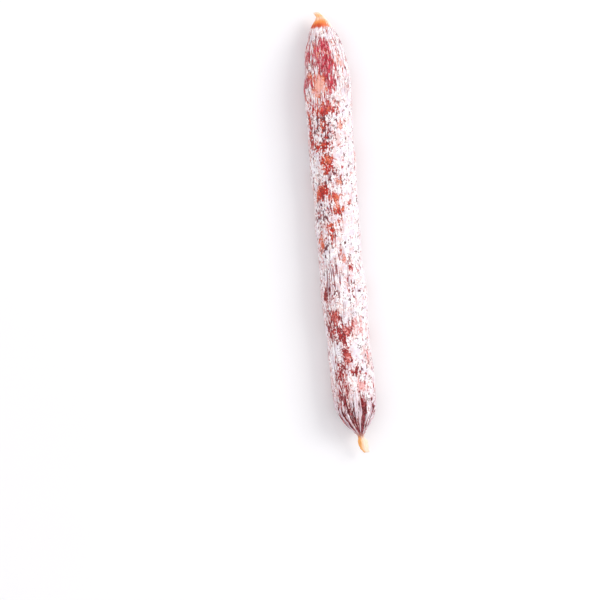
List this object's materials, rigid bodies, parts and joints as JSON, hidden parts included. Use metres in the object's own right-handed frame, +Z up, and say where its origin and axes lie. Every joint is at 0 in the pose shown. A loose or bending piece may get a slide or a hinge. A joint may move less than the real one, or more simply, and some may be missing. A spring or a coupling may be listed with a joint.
{
  "type": "cured sausage",
  "caption": "Slim dry-cured sausage in a natural casing with white mould, lying on its side, with a blunt nub at one end and a twisted casing tail at the other.",
  "frame": {"origin": "on the resting surface, under the middle of the sausage's box", "axes": "+Y along the sausage towards the blunt nub, the twisted tail towards -Y, +Z up from the surface it lies on"},
  "size_m": [0.0228, 0.196, 0.0194],
  "materials": {
    "casing": "dry natural casing with powdery white mould, worn through to red meat in patches, matt with a slight gloss where bare"
  },
  "bodies": {
    "root": {"sausage": "casing"}
  },
  "joints": []
}
